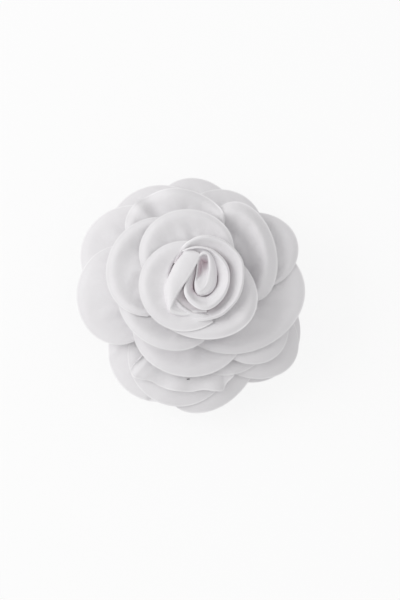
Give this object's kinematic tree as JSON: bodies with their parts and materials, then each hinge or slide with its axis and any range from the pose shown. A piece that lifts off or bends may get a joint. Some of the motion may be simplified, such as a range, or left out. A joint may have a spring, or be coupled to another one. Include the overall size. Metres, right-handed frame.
{
  "type": "flower hair clip",
  "caption": "Layered fabric rose of round heat-cut petals on a felt disc, glued to a sprung steel hair clip with a toothed jaw.",
  "frame": {"origin": "on the flat gripping face under the clip's top arm, straight below the middle of the bud", "axes": "+Z out of the flower along its axis, +X along the clip from its toothed nose to its thumb lever, +Y across the clip"},
  "size_m": [0.0974, 0.1037, 0.0376],
  "materials": {
    "petal_fabric": "matte off-white chiffon petals with heat-sealed rims",
    "felt": "pressed off-white felt",
    "glue": "set hot-melt glue",
    "steel": "pressed nickel-plated steel strip",
    "spring_steel": "drawn spring wire"
  },
  "bodies": {
    "root": {"back_petal_1": "petal_fabric", "back_petal_2": "petal_fabric", "back_petal_3": "petal_fabric", "back_petal_4": "petal_fabric", "back_petal_5": "petal_fabric", "back_petal_6": "petal_fabric", "bud_petal_inner": "petal_fabric", "bud_petal_left": "petal_fabric", "bud_petal_outer": "petal_fabric", "bud_roll": "petal_fabric", "felt_backing": "felt", "glue_bed": "glue", "inner_petal_1": "petal_fabric", "inner_petal_2": "petal_fabric", "inner_petal_3": "petal_fabric", "middle_petal_1": "petal_fabric", "middle_petal_2": "petal_fabric", "middle_petal_3": "petal_fabric", "middle_petal_4": "petal_fabric", "outer_petal_1": "petal_fabric", "outer_petal_2": "petal_fabric", "outer_petal_3": "petal_fabric", "outer_petal_4": "petal_fabric", "outer_petal_5": "petal_fabric", "outer_petal_6": "petal_fabric", "outer_petal_7": "petal_fabric", "pivot_pin": "steel", "top_arm": "steel", "torsion_spring": "spring_steel", "wide_petal_1": "petal_fabric", "wide_petal_2": "petal_fabric", "wide_petal_3": "petal_fabric"},
    "jaw": {"lower_jaw": "steel"}
  },
  "joints": [
    {"name": "jaw_hinge", "type": "hinge", "parent": "root", "child": "jaw", "pos_m": [0.009, 0, -0.0027], "axis": [0, -1, 0], "range_deg": [0, 26], "stiffness_Nm_per_rad": 0.05, "springref_deg": -34.38, "deforming": ["torsion_spring"]}
  ]
}
